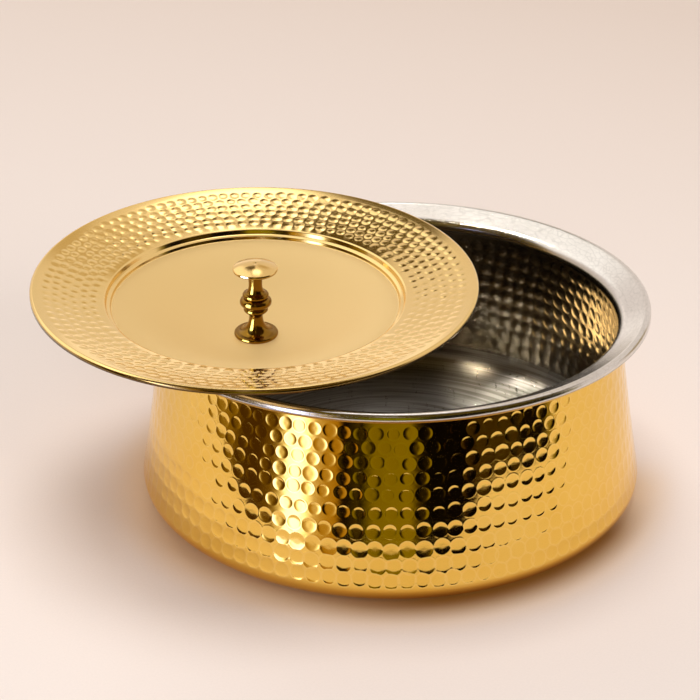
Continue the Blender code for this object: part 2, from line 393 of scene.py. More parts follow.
def brushed_round(tree, shader):
    """Lines that run round the object's Z axis, so that highlights spread across them."""
    shader.inputs["Anisotropic Rotation"].default_value = ACROSS_LINES
    around = node(tree, "ShaderNodeTangent", direction_type='RADIAL', axis='Z')
    tree.links.new(around.outputs[0], shader.inputs["Tangent"])


# Materials

BRASS_LIGHT = (0.875, 0.565, 0.12)
BRASS_DARK = (0.84, 0.52, 0.09)
# Lighter brass for the painted highlight on the rims round the hammer marks
BRASS_RIM_HIGHLIGHT = (0.95, 0.70, 0.26)
WASHER_LIGHT = (0.80, 0.58, 0.25)
WASHER_DARK = (0.70, 0.48, 0.18)
KNOB_HEAD = (0.88, 0.62, 0.24)
# Dark gold painted on the stem and foot, a painted dark reflection
KNOB_STEM_SHADE = (0.27, 0.14, 0.016)
STEM_SHADE_END = (0.0358, 0.0367)
LID_LIGHT = (0.93, 0.685, 0.285)
LID_DARK = (0.91, 0.66, 0.26)
# The well's colour, painted darker on its left as painted shade and lighter on its right
WELL_SHADED_SIDE = (0.79, 0.55, 0.225)
WELL_LIT_SIDE = (0.91, 0.655, 0.29)
WELL_SHADE_SPAN = (-0.06, 0.04)
# Painted shade for the lid lip's lower edge
LIP_SHADE = (0.16, 0.09, 0.02)
TIN_WALL = ((0.54, 0.485, 0.39), (0.42, 0.37, 0.285))
TIN_FLANGE = ((0.80, 0.785, 0.76), (0.72, 0.70, 0.67))
TIN_FLOOR = (0.46, 0.44, 0.41)
# Painted shade low on the inner wall
TIN_LOW_SHADE = (0.24, 0.21, 0.16)
TIN_WORN = (0.45, 0.42, 0.38)
# Painted shade for the creases round the bulges in the lining
TIN_CREASE_SHADE = (0.10, 0.085, 0.06)
TIN_RING = (0.19, 0.17, 0.14)
STEEL = (0.60, 0.58, 0.55)
FINE_LINE = 0.00002
SCRATCH = 0.00003
ACROSS_LINES = 0.25

POT_POLISH = {"rough": 0.05, "rougher": 0.11, "lines_scale": (25, 25, 900), "lines_strength": 0.05}
WASHER_POLISH = {"rough": 0.30, "rougher": 0.40, "lines_scale": (300, 300, 300), "lines_strength": 0.2}
KNOB_POLISH = {"rough": 0.12, "rougher": 0.16, "lines_scale": (60, 60, 1500), "lines_strength": 0.04}
KNOB_STREAKED = 0.85
STEEL_LINES = (300, 300, 1500)
STEEL_ROUGH = (0.28, 0.42)

# Where one finish passes into the next, in metres from the axis or in height, and how rough each is
WELL_TO_RECESS = (0.0698, 0.0708)
RECESS_TO_BAND = (0.077, 0.080)
LIP_FROM = (0.1086, 0.1092)
LIP_SHADE_BELOW = (0.0008, 0.0019)
LID_LINES = (60, 600, 60)
WELL_ROUGH, RECESS_ROUGH, BAND_EXTRA, LINES_EXTRA = 0.55, 0.09, 0.03, 0.06
WELL_METALLIC = 0.4
FLANGE_FROM = (0.0935, 0.0965)
FLOOR_UP_TO = (0.0155, 0.0170)
LOW_SHADE_UP_TO = (0.028, 0.050)
WALL_ROUGH = (0.15, 0.25)
BRUSHED_ROUGH = (0.25, 0.33)

# Noise along the turn, the radius and the height, for marks on the tin
RAGGED_SCALE = (26, 420, 1)
NICK_SCALE = (120, 700, 1)
WIDE_RINGS = (1.5, 460, 460)
FINE_RINGS = (3, 1600, 1600)
SCRATCH_SCALE = (500, 60, 200)


def patchy(tree, light, dark, scale=28.0, detail=4.0):
    """Soft patches of two close tones."""
    patches = noise(tree, object_place(tree), scale, detail)
    return blend_color(tree, ramp(tree, patches, 0.35, 0.7), light, dark)


def polished(name, rough, rougher, lines_scale, lines_strength):
    """Polished brass without its colour: fine polishing lines, and gloss that follows them."""
    mat, tree, shader = new_material(name)
    lines = streaks(tree, lines_scale)
    tree.links.new(ramp(tree, lines, 0.35, 0.75, rough, rougher), shader.inputs["Roughness"])
    bump(tree, shader, lines, lines_strength, FINE_LINE)
    return mat, tree, shader


def hammered_finish():
    """Pot brass, painted lighter on the raised rims round the hammer marks as a painted highlight."""
    mat, tree, shader = polished("hammered_brass", **POT_POLISH)
    plain = patchy(tree, BRASS_LIGHT, BRASS_DARK)
    # The lighter brass round the marks is a painted highlight
    tree.links.new(blend_color(tree, mark_lines(tree), plain, BRASS_RIM_HIGHLIGHT), shader.inputs["Base Color"])
    return mat


def washer_finish():
    mat, tree, shader = polished("washer_brass", **WASHER_POLISH)
    tree.links.new(patchy(tree, WASHER_LIGHT, WASHER_DARK), shader.inputs["Base Color"])
    return mat


def knob_finish():
    """The knob's stem and foot are painted a deep dark gold as a painted dark reflection, and its head keeps a plainer
    brass.
    """
    mat, tree, shader = polished("knob_brass", **KNOB_POLISH)
    height = split_of(tree, object_place(tree))[2]
    # The dark stem and foot are a painted dark reflection
    tree.links.new(blend_color(tree, ramp(tree, height, *STEM_SHADE_END), KNOB_STEM_SHADE, KNOB_HEAD), shader.inputs["Base Color"])
    # Fine turning lines draw every highlight out along the knob
    brushed_round(tree, shader)
    shader.inputs["Anisotropic"].default_value = KNOB_STREAKED
    return mat


def lid_finish():
    """Polished band and recess, and inside them a satin well, with faint clouds and lathe lines."""
    mat, tree, shader = new_material("lid_brass")
    radius = radius_of(tree)
    across, _, height = split_of(tree, object_place(tree))
    shine = ramp(tree, radius, *WELL_TO_RECESS)
    # Painted shade darkens the well's left side, and its right side is painted lighter
    well = blend_color(tree, ramp(tree, across, *WELL_SHADE_SPAN), WELL_SHADED_SIDE, WELL_LIT_SIDE)
    satin = blend_color(tree, shine, well, patchy(tree, LID_LIGHT, LID_DARK, 30.0))
    # Painted shade darkens the lower edge of the turned-down lip
    lip = maths(tree, 'MULTIPLY', ramp(tree, radius, *LIP_FROM), ramp(tree, height, *LIP_SHADE_BELOW, 1, 0))
    tree.links.new(blend_color(tree, lip, satin, LIP_SHADE), shader.inputs["Base Color"])
    lines = streaks(tree, LID_LINES)
    handled = ramp(tree, radius, *RECESS_TO_BAND, 0, BAND_EXTRA)
    rough = maths(tree, 'ADD', ramp(tree, shine, 0, 1, WELL_ROUGH, RECESS_ROUGH), handled)
    tree.links.new(maths(tree, 'MULTIPLY_ADD', lines, LINES_EXTRA, rough), shader.inputs["Roughness"])
    tree.links.new(ramp(tree, shine, 0, 1, WELL_METALLIC, 1.0), shader.inputs["Metallic"])
    bump(tree, shader, lines, 0.03, FINE_LINE)
    return mat


def tin_finish():
    """Wiped tin: a brushed floor with lathe rings, a darker hammered wall, and a pale scratched flange."""
    mat, tree, shader = new_material("tin")
    turns, height = polar(tree)
    clouds = noise(tree, object_place(tree), 40.0, 5.0, 0.6)
    flange = ramp(tree, height, *FLANGE_FROM)
    floor = ramp(tree, height, *FLOOR_UP_TO, 1, 0)
    cloudy = ramp(tree, clouds, 0.3, 0.7)
    wall = blend_color(tree, cloudy, *TIN_WALL)
    # The inner wall is painted darker low down, as painted shade above the floor
    wall = blend_color(tree, ramp(tree, height, *LOW_SHADE_UP_TO, 1, 0), wall, TIN_LOW_SHADE)
    sides = blend_color(tree, flange, wall, blend_color(tree, cloudy, *TIN_FLANGE))
    color = blend_color(tree, floor, sides, TIN_FLOOR)

    # Wiping leaves thin ragged edges of tin on the flange, and a few short nicks on the floor
    patches = node(tree, "ShaderNodeTexVoronoi", feature='DISTANCE_TO_EDGE', Scale=1.0, Randomness=0.9)
    tree.links.new(stretched(tree, turns, RAGGED_SCALE), patches.inputs["Vector"])
    ragged = maths(tree, 'ADD', patches.outputs["Distance"], maths(tree, 'MULTIPLY', clouds, 0.08))
    edges = maths(tree, 'MULTIPLY', ramp(tree, ragged, 0.05, 0.10, 0.8, 0), flange)
    nicks = noise(tree, stretched(tree, turns, NICK_SCALE), 1.0, 1.0)
    nicks = maths(tree, 'MULTIPLY', ramp(tree, nicks, 0.70, 0.76), floor)
    marks = maths(tree, 'MAXIMUM', edges, nicks)
    color = blend_color(tree, maths(tree, 'MULTIPLY', marks, 0.3), color, TIN_WORN)

    # Painted shade darkens the creases round the hammer bulges, and some of the floor's rings are duller
    color = blend_color(tree, mark_lines(tree), color, TIN_CREASE_SHADE)
    wide = noise(tree, stretched(tree, turns, WIDE_RINGS), 1.0, 2.0, 0.6)
    dull = maths(tree, 'MULTIPLY', ramp(tree, wide, 0.40, 0.62, 0, 0.75), floor)
    tree.links.new(blend_color(tree, dull, color, TIN_RING), shader.inputs["Base Color"])

    rings = noise(tree, stretched(tree, turns, FINE_RINGS), 1.0, 3.0, 0.7)
    scratches = streaks(tree, SCRATCH_SCALE, 4.0, 0.7)
    lines = maths(tree, 'ADD', maths(tree, 'MULTIPLY', rings, 0.8), scratches)
    gloss = node(tree, "ShaderNodeMix")
    feed(tree, floor, gloss.inputs[0])
    feed(tree, ramp(tree, lines, 0.5, 1.2, *WALL_ROUGH), gloss.inputs[2])
    feed(tree, ramp(tree, lines, 0.5, 1.2, *BRUSHED_ROUGH), gloss.inputs[3])
    tree.links.new(gloss.outputs[0], shader.inputs["Roughness"])
    tree.links.new(ramp(tree, floor, 0, 1), shader.inputs["Anisotropic"])
    brushed_round(tree, shader)
    relief = maths(tree, 'SUBTRACT', maths(tree, 'MULTIPLY', lines, 0.35), marks)
    bump(tree, shader, relief, 0.3, SCRATCH)
    return mat


def steel_finish():
    mat, tree, shader = new_material("screw_steel")
    shader.inputs["Base Color"].default_value = (*STEEL, 1)
    lines = streaks(tree, STEEL_LINES, roughness=0.5)
    tree.links.new(ramp(tree, lines, 0.3, 0.7, *STEEL_ROUGH), shader.inputs["Roughness"])
    return mat


def dress(obj, mat, body, *nodes, slot):
    obj.data.materials.append(mat)
    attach(obj, body)
    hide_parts(*nodes)


# Pot: the hammered shell and its tinned inside

ROW_HEIGHTS = (14.9, 22.2, 30.1, 38.6, 47.5, 56.2, 64.0, 71.4, 78.7, 85.8)
DENT_RADIUS = 3.2
LOW_EXTRA = (0.6, 0.8, 0.7, 0.3)
DENT_DEPTH = 0.14
DENT_PITCH = 7.5
DENT_REACH = 1.25
DENT_FLATNESS = 3.2
RIDGE, RIDGE_AT, RIDGE_WIDTH = 0.14, 1.07, 0.07
# Strength, place and width of the painted highlight round each dent
RIM_HIGHLIGHT, RIM_HIGHLIGHT_AT, RIM_HIGHLIGHT_WIDTH = 0.35, 1.0, 0.075
HAMMER_SCATTER = {"shift": 0.08, "drift": 0.05, "place": 0.35, "size": 0.05, "depth": 0.12}
POT_COLUMNS = 2000
BELLY, BELLY_HEIGHT = 128.9, 10
NECK, NECK_HEIGHT = 115.8, 91
MARKED_RADIUS, MARKED_HEIGHT, LIP_ROWS = 115, 93, 30
MEET = -0.004

LINING_COLUMNS = 1440
LINED_RADIUS, LINED_LOW, LINED_HIGH, FIRST_BULGE = 109, 12, 92, 18
BULGE_SPREAD = 1.12
BULGE_HEIGHT = 0.34
BULGE_REACH = 1.2
BULGE_FLATNESS, BULGE_FOOT = 2.4, 1.15
# How dark the painted shade round the bulges is, and how it varies
GROOVE, GROOVE_VARIES, GROOVE_WAVES = 0.22, 0.15, 9
GROOVE_REACH, GROOVE_AT, GROOVE_WIDTH = 1.3, 1.02, 0.085
SEAM_RADIUS, SEAM_HEIGHT, SEAM_WIDTH, SEAM_RISE = 112, 16.6, 0.45, 0.3
SEAM_BEADS, BEAD_RISE = 260, 0.25
BACK_SPACING = 8.0


def wall_radius(height):
    return BELLY + (NECK - BELLY) * (height - BELLY_HEIGHT) / (NECK_HEIGHT - BELLY_HEIGHT)


def hammer_rows():
    """The hammer marks, row by row from the bottom. Those of the lowest rows are larger."""
    marks = []
    for k, height in enumerate(ROW_HEIGHTS):
        size = DENT_RADIUS + LOW_EXTRA[k] if k < len(LOW_EXTRA) else DENT_RADIUS
        marks += mark_row(k, wall_radius(height), DENT_PITCH, height, size, DENT_DEPTH, HAMMER_SCATTER)
    return marks


def ring_shape(rho, at, width):
    return np.exp(-((rho - at) / width) ** 2)


def mound_shape(rho, radius, flatness, foot):
    """1 in the middle and 0 from the radius on, flat-topped, and softer at its foot."""
    return np.where(rho < radius, (1 - np.minimum(rho / radius, 1) ** flatness) ** foot, 0)


def dent_shape(rho):
    """A flat-bottomed hollow, and the small ridge that the hammer raises round it."""
    return RIDGE * ring_shape(rho, RIDGE_AT, RIDGE_WIDTH) - mound_shape(rho, 1, DENT_FLATNESS, 1)


def edge_shape(rho):
    return ring_shape(rho, RIM_HIGHLIGHT_AT, RIM_HIGHLIGHT_WIDTH)


def bulge_shape(rho):
    """The back of a hammer mark: a low rounded bulge with a crisp foot."""
    return mound_shape(rho, 1, BULGE_FLATNESS, BULGE_FOOT)


def groove_shape(rho):
    return ring_shape(rho, GROOVE_AT, GROOVE_WIDTH)


def dome_shape(rho):
    """A raised round bump with a soft foot."""
    return mound_shape(rho, DOME_RADIUS, DOME_FLATNESS, DOME_FOOT)


def pressed(old, new):
    """Of two marks that meet, the deeper hollow stays, and otherwise the higher ridge."""
    return np.where(np.minimum(old, new) < MEET, np.minimum(old, new), np.maximum(old, new))


def build_shell(marks):
    outer = pot_section(0, LIP_DROP, 0.4)
    inner = pot_section(SHEET, LIP_DROP, BACK_SPACING)[::-1]
    section = np.concatenate([inner, outer])
    # Only the wall and the bottom edge take marks, where the height falls steadily
    wall = np.nonzero((outer[:, 0] > MARKED_RADIUS) & (outer[:, 1] < MARKED_HEIGHT)
                      & (np.arange(len(outer)) > LIP_ROWS))[0]
    where = ((len(section), POT_COLUMNS), len(inner) + wall, outer[wall, 1], outer[wall, 0])
    # Each dent's rim gets a painted highlight in the material
    edges = [(h, a, s, RIM_HIGHLIGHT) for h, a, s, d in marks]
    field = stamped(*where, marks, dent_shape, DENT_REACH, pressed)
    lines = stamped(*where, edges, edge_shape, DENT_REACH, np.maximum)
    shell = turned("hammered_shell", section, POT_COLUMNS, field, lines=lines)
    dress(shell, hammered_finish(), "pot", "pot_shell", slot="hammered_brass")
    return shell


def build_lining(marks):
    inner = pot_section(STACK, LINING_DROP, 0.6)[::-1]
    outer = pot_section(SHEET + CLEARANCE, LINING_DROP, BACK_SPACING)
    section = np.concatenate([inner, outer])
    heights = inner[:, 1]
    wall = np.nonzero((inner[:, 0] > LINED_RADIUS) & (heights > LINED_LOW) & (heights < LINED_HIGH))[0]
    where = ((len(section), LINING_COLUMNS), wall, heights[wall], inner[wall, 0])
    seen = [(h, a, s * BULGE_SPREAD) for h, a, s, d in marks if h > FIRST_BULGE]
    bulges = [(h, a, s, BULGE_HEIGHT) for h, a, s in seen]
    # The dark rings round the bulges are painted shade, kept with the mesh for the material
    dark = [(h, a, s, GROOVE + GROOVE_VARIES * math.sin(GROOVE_WAVES * a + h)) for h, a, s in seen]
    field = stamped(*where, bulges, bulge_shape, BULGE_REACH, np.maximum)
    grooves = np.clip(stamped(*where, dark, groove_shape, GROOVE_REACH, np.maximum), 0, 1)
    # A fine soldered line runs round above the bottom edge
    beads = 1 + BEAD_RISE * np.sin(np.arange(LINING_COLUMNS) * TAU / LINING_COLUMNS * SEAM_BEADS)
    seam = np.nonzero(inner[:, 0] > SEAM_RADIUS)[0]
    field[seam] += SEAM_RISE * np.exp(-((heights[seam] - SEAM_HEIGHT) / SEAM_WIDTH) ** 2)[:, None] * beads
    lining = turned("tin_inside", section, LINING_COLUMNS, field, lines=grooves)
    dress(lining, tin_finish(), "pot", "tin_lining", slot="tin")
    return lining


# Lid: the dish with its raised bumps, and the turned knob

LID_COLUMNS = 1560
BUMP_RINGS = (101.5, 97.0, 92.5, 88.0, 83.5, 79.2)
BUMP_PITCH = 6.05
BUMP_RADIUS = 2.35
BUMP_STRETCH = 1.15
BUMP_REACH = 1.2
BUMP_HEIGHT = 0.21
DOME_RADIUS, DOME_FLATNESS, DOME_FOOT = 1.1, 2.4, 1.6
BUMP_SCATTER = {"shift": 0.1, "drift": 0.06, "place": 0.3, "size": 0.07, "depth": 0.12}
BUMPED_FROM, BUMPED_TO, WELL_ROWS = 75.5, 105.5, 60
BAND_START = (77.0, -5.95)
BAND_END = 105.0
BAND_SAG = 0.45
BAND_SPACING = 0.38
RECESS = ((70.9, -10.9), (71.3, -9.6), (72.4, -9.1), (73.0, -8.9), (73.7, -6.9), (74.6, -6.55))
RECESS_BENDS = (0.3, 0.4, 0.5, 0.35, 0.6, 0.8)
RIM_BENDS = (2.0, 1.1, 0.9)
UNDERSIDE = ((72.2, -11.0), (73.4, -10.4), (74.6, -8.0), (77.0, -7.2), (90.0, -3.9), (100.0, -1.3),
             (LID_RADIUS - 2.2, 0.5), (LID_RADIUS - LID_THICKNESS, 0.3), (LID_RADIUS - LID_THICKNESS, 0))


def well_line(floor, count):
    """The satin well, flat at the knob and steeper towards its edge."""
    share = np.linspace(0, 1, count)
    return np.stack([KNOB_SEAT + (WELL_RADIUS - KNOB_SEAT) * share,
                     floor + WELL_DEPTH * (1 - (1 - share ** 2) ** 2)], 1)


def lid_top():
    well = well_line(WELL_FLOOR, 46)
    recess = fillet([well[-1], *RECESS, BAND_START], RECESS_BENDS, 6)
    start, low = BAND_START
    slope = (LID_LIP - 0.4 - low) / (LID_RADIUS - 1.4 - start)
    level = low + slope * (np.array([BAND_END, LID_RADIUS - 1.3]) - start)
    rim = fillet([BAND_START, (BAND_END, level[0]), (LID_RADIUS - 1.3, level[1] + 0.1),
                  (LID_RADIUS, LID_LIP - 1.1), (LID_RADIUS, 0)], RIM_BENDS, 7)
    band = line(rim[0], rim[1], BAND_SPACING)
    # The band curves up towards the lip, like the rim of a plate
    share = (band[:, 0] - start) / (band[-1, 0] - start)
    band[:, 1] -= BAND_SAG * 4 * share * (1 - share)
    return np.concatenate([[(SCREW_RADIUS, WELL_FLOOR)], well[:-1], recess, band, rim[2:]])


def bump_rings():
    """The raised bumps, ring by ring from the lip."""
    marks = []
    for k, ring in enumerate(BUMP_RINGS):
        marks += mark_row(k, ring, BUMP_PITCH, ring, BUMP_RADIUS, BUMP_HEIGHT, BUMP_SCATTER)
    return marks


def build_lid():
    top = lid_top()
    under = WELL_FLOOR - LID_THICKNESS
    back = np.concatenate([[(SCREW_RADIUS, under)], well_line(under, 20), UNDERSIDE])[::-1]
    section = np.concatenate([top, back])
    band = np.nonzero((top[:, 0] > BUMPED_FROM) & (top[:, 0] < BUMPED_TO) & (np.arange(len(top)) > WELL_ROWS))[0]
    field = stamped((len(section), LID_COLUMNS), band, top[band, 0], top[band, 0], bump_rings(), dome_shape,
                    BUMP_REACH, np.maximum, BUMP_STRETCH)
    lid = turned("lid_dish", section, LID_COLUMNS, field, closed=True)
    lid.matrix_world = LID_POSE
    dress(lid, lid_finish(), "lid", "lid_plate", slot="lid_brass")
    return lid


KNOB_COLUMNS = 96
CROWN_TOP, CROWN_FALL, CROWN_RADIUS, CROWN_END, CROWN_STEPS = 39.5, 2.2, 10.2, 10.5, 45
DIMPLE_DEPTH, DIMPLE_RADIUS, DIMPLE_ROWS = 0.28, 0.9, 31
HEAD_UNDERSIDE = ((8.0, 35.35), (5.6, 35.3), (4.2, 35.36))
NECK_FOOT = 28.0
KNOB_BORE = 9.0


def build_knob():
    """Turned knob, from the crown down the stem to the foot and the bore's end."""
    across = np.linspace(0, CROWN_END, CROWN_STEPS + 1)
    crown = np.stack([across, CROWN_TOP - CROWN_FALL * (across / CROWN_RADIUS) ** 2], 1)
    rim = arc((10.15, 36.34), (0.9, 0.9), rad(66.9), -rad(80), 14)
    head = np.concatenate([crown[:-1], rim, HEAD_UNDERSIDE])
    neck = arc((4.2, NECK_FOOT), (0.85, head[-1, 1] - NECK_FOOT), math.pi * 3 / 4, math.pi, 8)
    flare = arc((5.2, NECK_FOOT), (1.85, 4.4), math.pi, math.pi * 3 / 2, 12)[1:-1]
    top_bead = arc((5.2, 22.3), (1.3, 1.3), math.pi / 2, -math.pi / 2, 12)
    main_bead = arc((5.2, 18.6), (2.7, 2.4), math.pi / 2, -math.pi / 2, 18)[1:]
    low_bead = arc((3.45, 14.5), (2.65, 1.7), rad(60), -math.pi / 2, 14)
    cove = arc((9.9, 10.2), (6.45, 8.0), math.pi, math.pi * 3 / 2, 20)
    edge = arc((9.9, 1.1), (1.1, 1.1), math.pi / 2, -math.pi / 2, 12)[1:]
    bore = np.array([(SCREW_RADIUS, 0), (SCREW_RADIUS, KNOB_BORE), (0, KNOB_BORE)])
    section = np.concatenate([head, neck, flare, top_bead, main_bead, low_bead, cove, edge, bore])
    dimple = section[:DIMPLE_ROWS]
    dimple[:, 1] -= DIMPLE_DEPTH * np.exp(-(dimple[:, 0] / DIMPLE_RADIUS) ** 2)
    knob = turned("turned_knob", section, KNOB_COLUMNS)
    knob.matrix_world = LID_POSE @ Matrix.Translation((0, 0, (WELL_FLOOR + CLEARANCE) * MM))
    dress(knob, knob_finish(), "lid", "lid_knob", slot="knob_brass")
    return knob


hammer_marks = hammer_rows()
shell = build_shell(hammer_marks)
lining = build_lining(hammer_marks)
lid = build_lid()
knob = build_knob()
for name, mat in (("knob_screw", steel_finish()), ("knob_washer", washer_finish())):
    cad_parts[name].material_slots[0].material = mat


# The room, as polished metal sees it

PALE = (0.86, 0.75, 0.68)
CEILING = (0.84, 0.73, 0.64)
PLAIN_LIGHT = (0.27, 0.25, 0.23)
BOUNCED_LIGHT = (0.55, 0.32, 0.10)
CEILING_RISE = (26, 46)
CEILING_BEHIND = (92, 108)

# What stands round the studio, by its direction from the pot: degrees from the front, and its colour.
# Zero is the front, and positive is to the right.
ROUND_THE_ROOM = (
    (-180, PALE), (-91, PALE), (-88.5, (0.36, 0.25, 0.05)), (-80, (0.24, 0.15, 0.01)), (-71, (0.07, 0.035, 0.002)),
    (-62, (0.065, 0.03, 0.001)), (-54, (0.17, 0.10, 0.006)), (-51.5, (0.42, 0.32, 0.13)),
    (-48.5, (1.2, 1.15, 1.1)), (-46.5, (2.3, 2.6, 5.0)), (-40.5, (2.6, 3.0, 6.0)), (-37.5, (1.8, 1.9, 2.4)),
    (-34, (0.75, 0.60, 0.40)), (-29, (0.50, 0.32, 0.06)), (-22.9, (0.42, 0.23, 0.008)), (-22.2, (0.006, 0.003, 0.001)),
    (-19.5, (0.004, 0.002, 0.001)), (-14, (0.05, 0.036, 0.001)), (-12.6, (0.004, 0.002, 0.001)),
    (-11.4, (0.06, 0.05, 0.002)), (-7, (0.21, 0.175, 0.002)), (9.5, (0.25, 0.21, 0.003)),
    (11.8, (0.05, 0.035, 0.002)), (16, (0.004, 0.003, 0.001)), (36, (0.002, 0.001, 0.001)), (39, (0.04, 0.024, 0.002)),
    (56, (0.05, 0.032, 0.002)), (63, (0.006, 0.004, 0.001)), (75, (0.008, 0.005, 0.002)),
    (79.5, (0.30, 0.24, 0.05)), (84, PALE), (180, PALE))

# Windows, soft boxes, dim places and gaps: left, right, low, high and edge in degrees, and the colour
OVERHEAD = (
    (-98, 98, 22, 110, 10, (0.085, 0.05, 0.004)),
    (-162, -86, 22, 80, 7, (1.30, 1.22, 1.13)),
    (-195, -165, 54, 74, 7, (2.8, 2.7, 2.6)), (160, 195, 54, 74, 7, (2.8, 2.7, 2.6)),
    (-190, -175, 14, 55, 5, (0.82, 0.72, 0.64)), (171, 190, 14, 55, 5, (0.82, 0.72, 0.64)),
    (-114, -90, 48, 66, 5, (2.0, 1.9, 1.7)),
    (-178, -156, 40, 58, 3, (0.09, 0.055, 0.008)),
    (112, 140, -3, 21, 6, (0.40, 0.29, 0.13)),
    (-50, -37, -6, 24, 4, (5.0, 4.5, 3.9)),
    (-45, -30, 42, 56, 5, (0.36, 0.22, 0.03)),
    (-7, 4, 40, 62, 4, (0.8, 0.72, 0.6)),
    (-192, -152, 4, 16, 5, (1.20, 1.08, 0.98)),
    (-192, -160, -8, 5, 4, (0.68, 0.55, 0.40)), (160, 192, -8, 5, 4, (0.68, 0.55, 0.40)),
    (158, 181, 34, 49, 5, (0.60, 0.46, 0.27)))


def room_colors(tree, degrees):
    colors = node(tree, "ShaderNodeValToRGB")
    stops = colors.color_ramp.elements
    for i, (angle, color) in enumerate(ROUND_THE_ROOM):
        at = (angle + 180) / 360
        stop = stops[i] if i < 2 else stops.new(at)
        stop.position = at
        stop.color = (*color, 1)
    tree.links.new(ramp(tree, degrees, -180, 180), colors.inputs[0])
    return colors.outputs[0]


def soft_window(tree, degrees, height, left, right, low, high, edge):
    """1 inside a window of the sky, given in degrees round and degrees up, and 0 outside it."""
    inside = 1.0
    for value, start, end in ((degrees, left, right), (height, low, high)):
        opened = smooth(tree, value, start, start + edge)
        closed = smooth(tree, value, end - edge, end, 1, 0)
        inside = maths(tree, 'MULTIPLY', inside, maths(tree, 'MULTIPLY', opened, closed))
    return inside


def wire_world():
    world = bpy.data.worlds.new("studio")
    bpy.context.scene.world = world
    world.use_nodes = True
    tree = world.node_tree
    background = tree.nodes["Background"]
    degrees, rise = bearing(tree, node(tree, "ShaderNodeTexCoord").outputs["Generated"])
    height = maths(tree, 'DEGREES', maths(tree, 'ARCSINE', rise))

    # The room round the pot, with a pale ceiling over its back half
    behind = ramp(tree, maths(tree, 'ABSOLUTE', degrees), *CEILING_BEHIND)
    ceiling = maths(tree, 'MULTIPLY', ramp(tree, height, *CEILING_RISE), behind)
    color = blend_color(tree, ceiling, room_colors(tree, degrees), CEILING)
    for *window, tone in OVERHEAD:
        color = blend_color(tree, soft_window(tree, degrees, height, *window), color, tone)

    # Polished metal shows the room, and everything else is in the plain light of its pale walls
    seen = node(tree, "ShaderNodeLightPath")
    direct = maths(tree, 'LESS_THAN', seen.outputs["Diffuse Depth"], 0.5)
    mirrored = maths(tree, 'MULTIPLY', seen.outputs["Is Glossy Ray"], direct)
    plain = blend_color(tree, seen.outputs["Is Glossy Ray"], PLAIN_LIGHT, BOUNCED_LIGHT)
    tree.links.new(blend_color(tree, mirrored, plain, color), background.inputs["Color"])
    background.inputs["Strength"].default_value = 1.0


wire_world()


# The table

FLOOR_NEAR = (0.93, 0.825, 0.765)
FLOOR_FAR = (0.765, 0.63, 0.545)
FLOOR_GRAIN = (0.975, 0.975, 0.975)
WHITE = (1, 1, 1)
# Painted warm glow and painted shadow on the floor near the pot
BRASS_GLOW = (1.0, 0.87, 0.66)
BASE_SHADE = (0.36, 0.21, 0.06)
FLOOR_ROUGH, FLOOR_SHINE = 0.9, 0.1
FLOOR_SKEW = 0.4
FLOOR_FADE = (-0.25, 1.0)
GRAIN_SCALE = 900.0

# How far the painted glow and the painted shadow reach: metres from the pot's axis, and degrees round it from the
# front
GLOW_REACH, GLOW_LEFT, GLOW_RIGHT = (0.122, 0.155), (-170, -110), (82, 100)
SHADE_REACH, SHADE_LEFT, SHADE_RIGHT = (0.122, 0.143), (-50, 15), (58, 82)
FLOOR_HALF = 6000
TABLE_EDGE = ((-3000, 200), (-900, 120), (-420, -10), (-330, -112), (-200, -168), (-100, -230), (-40, -259),
              (77, -250), (94, -248), (113, -254), (143, -269), (182, -281), (212, -272), (244, -262), (260, -219),
              (282, -176), (302, -138), (360, -112), (900, -20), (3000, 60))
TABLE_BACK = ((3000, 700), (-3000, 700))
TABLE_RISE = 0.1


def floor_finish():
    """A pale table that darkens away from the front, with a warm glow from the brass painted close to the pot, and a
    painted shadow where it meets the right half of the base."""
    mat, tree, shader = new_material("floor", 0.0)
    shader.inputs["Roughness"].default_value = FLOOR_ROUGH
    shader.inputs["Specular IOR Level"].default_value = FLOOR_SHINE
    place = object_place(tree)
    x, y, _ = split_of(tree, place)
    away = maths(tree, 'MULTIPLY_ADD', x, FLOOR_SKEW, y)
    tone = blend_color(tree, ramp(tree, away, *FLOOR_FADE), FLOOR_NEAR, FLOOR_FAR)
    grain = ramp(tree, noise(tree, place, GRAIN_SCALE, 2.0), 0.3, 0.7)
    color = blend_color(tree, 1.0, tone, blend_color(tree, grain, WHITE, FLOOR_GRAIN), 'MULTIPLY')

    around, _ = bearing(tree, place)
    radius = radius_of(tree)
    # A painted warm glow round the base, and a painted shadow where it meets its right half
    for reach, left, right, tint in ((GLOW_REACH, GLOW_LEFT, GLOW_RIGHT, BRASS_GLOW),
                                     (SHADE_REACH, SHADE_LEFT, SHADE_RIGHT, BASE_SHADE)):
        side = maths(tree, 'MULTIPLY', smooth(tree, around, *left), smooth(tree, around, *right, 1, 0))
        near = maths(tree, 'MULTIPLY', side, smooth(tree, radius, *reach, 1, 0))
        color = blend_color(tree, near, color, tint, 'MULTIPLY')
    tree.links.new(color, shader.inputs["Base Color"])
    return mat


def stage_sheet(name, points, height, mat):
    mesh = bpy.data.meshes.new(name)
    mesh.from_pydata([(x * MM, y * MM, height * MM) for x, y in points], [], [tuple(range(len(points)))])
    made = bpy.data.objects.new(name, mesh)
    bpy.context.scene.collection.objects.link(made)
    made.data.materials.append(mat)
    return made


floor_mat = floor_finish()
corners = [(x * FLOOR_HALF, y * FLOOR_HALF) for x, y in ((-1, -1), (1, -1), (1, 1), (-1, 1))]
floor = stage_sheet("floor", corners, 0, floor_mat)
# Metal reflects the floor only as far as the table reaches, and beyond that the room
floor.visible_glossy = False
table = stage_sheet("table_top", TABLE_EDGE + TABLE_BACK, TABLE_RISE, floor_mat)
table.visible_camera = False
table.visible_diffuse = False
table.visible_shadow = False
table.visible_transmission = False


